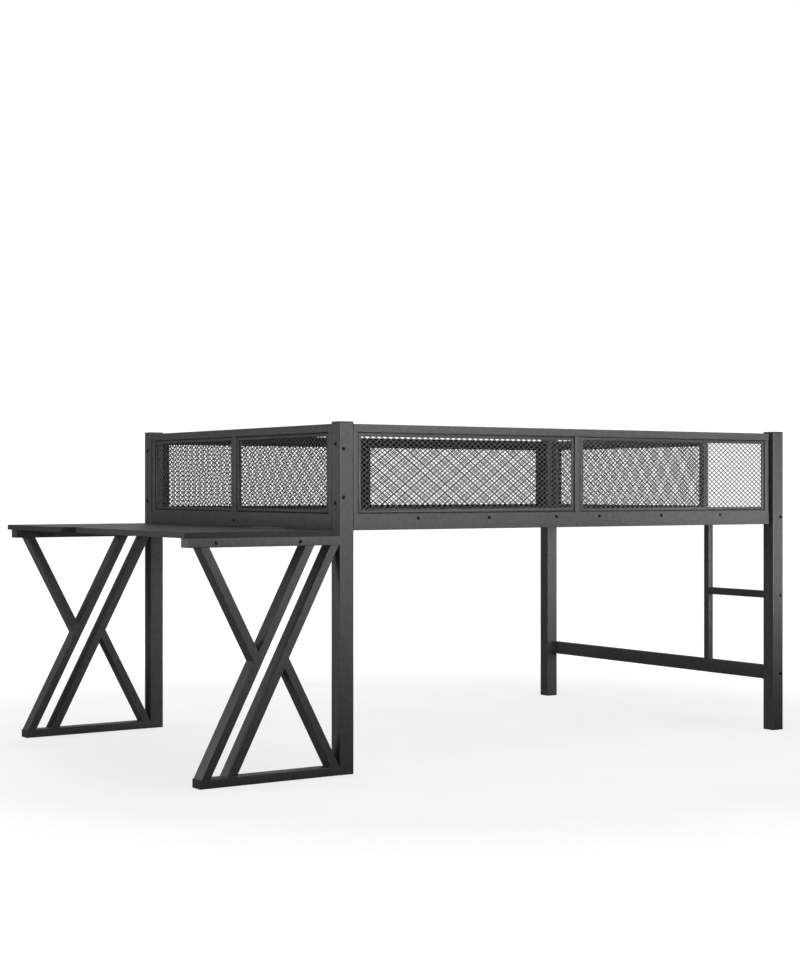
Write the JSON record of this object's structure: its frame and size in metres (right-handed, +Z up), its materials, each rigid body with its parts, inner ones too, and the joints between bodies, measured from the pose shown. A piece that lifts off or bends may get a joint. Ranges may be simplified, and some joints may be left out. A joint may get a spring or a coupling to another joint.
{
  "type": "loft bed with desk",
  "caption": "Low metal loft bed with diamond mesh guard rails, an end entrance with a ladder post and rung, and a full-width desk on crossed leg frames at the other end.",
  "frame": {"origin": "centre of the whole object's bounding box at floor level", "axes": "+X along the bed from the desk end to the entrance end, +Y across the bed away from the near side, +Z up"},
  "size_m": [2.5615, 1.439, 1.14],
  "materials": {
    "frame_steel": "charcoal satin powder coat",
    "mesh_steel": "charcoal satin powder coat on expanded mesh",
    "deck_steel": "black satin powder coat",
    "black_plastic": "fine matt moulded plastic",
    "fixings": "black zinc",
    "desk_board": "charcoal melamine on particle board",
    "outlet_case": "grey moulded plastic",
    "outlet_inserts": "black moulded plastic"
  },
  "bodies": {
    "root": {"board_screws": "fixings", "deck_beam": "deck_steel", "deck_bolts": "fixings", "deck_rails_far": "deck_steel", "deck_rails_near": "deck_steel", "deck_slats_left": "deck_steel", "deck_slats_right": "deck_steel", "desk_base_tube_far": "frame_steel", "desk_base_tube_near": "frame_steel", "desk_bolts": "fixings", "desk_brackets": "fixings", "desk_end_guard_inset_frames": "frame_steel", "desk_end_guard_lower_rail": "frame_steel", "desk_end_guard_mesh": "mesh_steel", "desk_end_guard_stiles": "frame_steel", "desk_end_guard_top_rail": "frame_steel", "desk_long_struts_far": "frame_steel", "desk_long_struts_near": "frame_steel", "desk_lower_strut_far": "frame_steel", "desk_lower_strut_near": "frame_steel", "desk_top_tube_far": "frame_steel", "desk_top_tube_near": "frame_steel", "desk_tube_plugs": "black_plastic", "desk_upper_strut_far": "frame_steel", "desk_upper_strut_near": "frame_steel", "desktop": "desk_board", "entry_guard_inset_frames": "frame_steel", "entry_guard_lower_rail": "frame_steel", "entry_guard_mesh": "mesh_steel", "entry_guard_stiles": "frame_steel", "entry_guard_top_rail": "frame_steel", "far_guard_inset_frames": "frame_steel", "far_guard_lower_rail": "frame_steel", "far_guard_mesh": "mesh_steel", "far_guard_stiles": "frame_steel", "far_guard_top_rail": "frame_steel", "foot_far_left": "black_plastic", "foot_far_right": "black_plastic", "foot_near_left": "black_plastic", "foot_near_right": "black_plastic", "joint_spacers": "black_plastic", "ladder_post": "frame_steel", "ladder_rung": "frame_steel", "low_end_rail": "frame_steel", "low_rail_brackets": "fixings", "near_guard_inset_frames": "frame_steel", "near_guard_lower_rail": "frame_steel", "near_guard_mesh": "mesh_steel", "near_guard_stiles": "frame_steel", "near_guard_top_rail": "frame_steel", "outlet_faces": "outlet_inserts", "outlet_module": "outlet_case", "post_bolts": "fixings", "post_caps": "black_plastic", "post_far_left": "frame_steel", "post_far_right": "frame_steel", "post_near_left": "frame_steel", "post_near_right": "frame_steel"}
  },
  "joints": []
}
